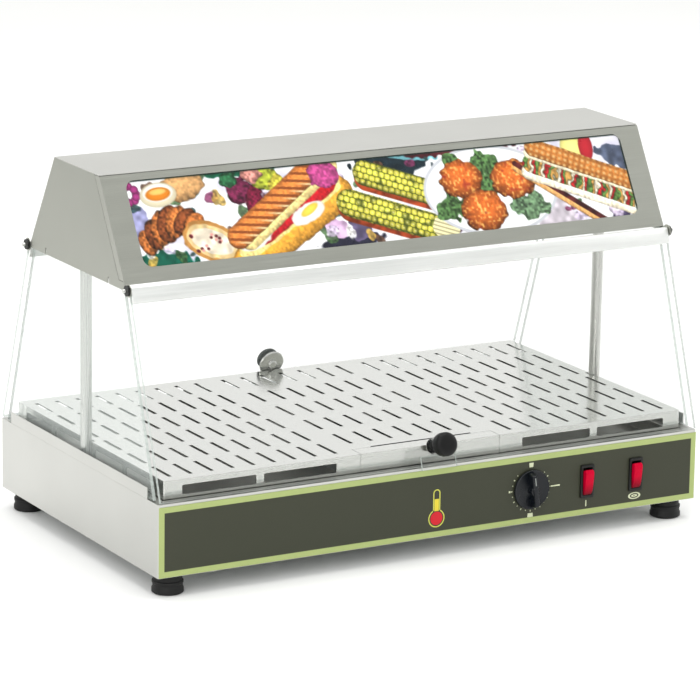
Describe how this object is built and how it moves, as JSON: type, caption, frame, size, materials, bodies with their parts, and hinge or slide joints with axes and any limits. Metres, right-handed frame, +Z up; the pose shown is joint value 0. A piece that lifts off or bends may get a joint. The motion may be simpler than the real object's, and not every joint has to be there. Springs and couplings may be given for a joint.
{
  "type": "heated countertop display case",
  "caption": "Heated countertop food display case with a lit picture canopy on posts, flip-up glass doors, a slotted heat shelf and a humidity drawer.",
  "frame": {"origin": "on the floor plane under the middle of the case, at the bottom centre of its bounding box", "axes": "+X to the case's right as seen by someone facing its front, +Y to its back, +Z up; the controls are on the -Y side"},
  "size_m": [0.601, 0.383, 0.373],
  "materials": {
    "brushed_stainless": "fine brushed",
    "canopy_stainless": "satin brushed",
    "polished_stainless": "bright polished",
    "galvanised": "dull",
    "post_steel": "satin",
    "bright_hardware": "plated",
    "anodised_profile": "satin anodised",
    "element_sheath": "heat tinted",
    "printed_panel": "printed film with a green border",
    "foot_rubber": "moulded",
    "black_plastic": "moulded",
    "dial_plastic": "moulded, blue-black",
    "rocker_red": "translucent, lit",
    "cream_plastic": "moulded",
    "loom_black": "sleeved",
    "copper_tube": "drawn",
    "clear_glass": "clear toughened",
    "clear_plastic": "clear moulded",
    "printed_picture": null,
    "white_painted": "white gloss",
    "opal_plastic": "opal",
    "lamp_glass": "white coated"
  },
  "bodies": {
    "case": {"base_housing": "brushed_stainless", "bottom_plate": "galvanised", "bottom_plate_screws": "bright_hardware", "heat_tray": "polished_stainless", "fascia_panel": "printed_panel", "foot_front_left": "foot_rubber", "foot_front_right": "foot_rubber", "foot_rear_left": "foot_rubber", "foot_rear_right": "foot_rubber", "foot_screws": "bright_hardware", "slotted_shelf": "polished_stainless", "drawer_runners": "galvanised", "heating_element": "element_sheath", "element_clips": "galvanised", "thermostat_body": "cream_plastic", "thermostat_sensor": "copper_tube", "heat_switch_case": "black_plastic", "lamp_switch_case": "black_plastic", "terminal_block": "cream_plastic", "wiring_loom": "loom_black", "cable_gland": "black_plastic", "gland_lock_nut": "black_plastic", "post_left": "post_steel", "post_right": "post_steel", "post_nuts": "bright_hardware", "side_rail_left": "brushed_stainless", "side_rail_right": "brushed_stainless", "side_glass_left": "clear_glass", "side_glass_right": "clear_glass", "canopy_end_left": "canopy_stainless", "canopy_end_right": "canopy_stainless", "canopy_cover": "brushed_stainless", "canopy_front": "canopy_stainless", "canopy_screws": "bright_hardware", "picture_sheet": "printed_picture", "picture_channels": "anodised_profile", "lamp_reflector": "white_painted", "lamp_diffuser": "opal_plastic", "lamp_tube": "lamp_glass", "lamp_holders": "cream_plastic", "lamp_ballast": "galvanised", "hinge_pins": "bright_hardware", "hinge_washers": "black_plastic"},
    "front_door": {"front_door_profile": "anodised_profile", "front_door_glass": "clear_glass", "front_door_knob": "black_plastic", "front_door_rosette": "bright_hardware", "front_door_tab": "clear_plastic"},
    "rear_door": {"rear_door_profile": "anodised_profile", "rear_door_glass": "clear_glass", "rear_door_knob": "black_plastic", "rear_door_rosette": "bright_hardware", "rear_door_tab": "clear_plastic"},
    "dial": {"thermostat_knob": "dial_plastic", "thermostat_shaft": "bright_hardware"},
    "heat_rocker": {"heat_switch_rocker": "rocker_red"},
    "lamp_rocker": {"lamp_switch_rocker": "rocker_red"},
    "drawer": {"humidity_drawer": "polished_stainless"}
  },
  "joints": [
    {"name": "front_door_hinge", "type": "hinge", "parent": "case", "child": "front_door", "pos_m": [0, -0.1075, 0.277], "axis": [-1, 0, 0], "range_deg": [0, 180]},
    {"name": "rear_door_hinge", "type": "hinge", "parent": "case", "child": "rear_door", "pos_m": [0, 0.1075, 0.277], "axis": [1, 0, 0], "range_deg": [0, 180]},
    {"name": "thermostat_turn", "type": "hinge", "parent": "case", "child": "dial", "pos_m": [0.1045, -0.18, 0.054], "axis": [0, 1, 0], "range_deg": [0, 270]},
    {"name": "heat_switch_rock", "type": "hinge", "parent": "case", "child": "heat_rocker", "pos_m": [0.168, -0.1676, 0.054], "axis": [-1, 0, 0], "range_deg": [0, 16]},
    {"name": "lamp_switch_rock", "type": "hinge", "parent": "case", "child": "lamp_rocker", "pos_m": [0.224, -0.1676, 0.054], "axis": [-1, 0, 0], "range_deg": [0, 16]},
    {"name": "drawer_slide", "type": "slide", "parent": "case", "child": "drawer", "axis": [0, -1, 0], "range_m": [0, 0.003]}
  ]
}
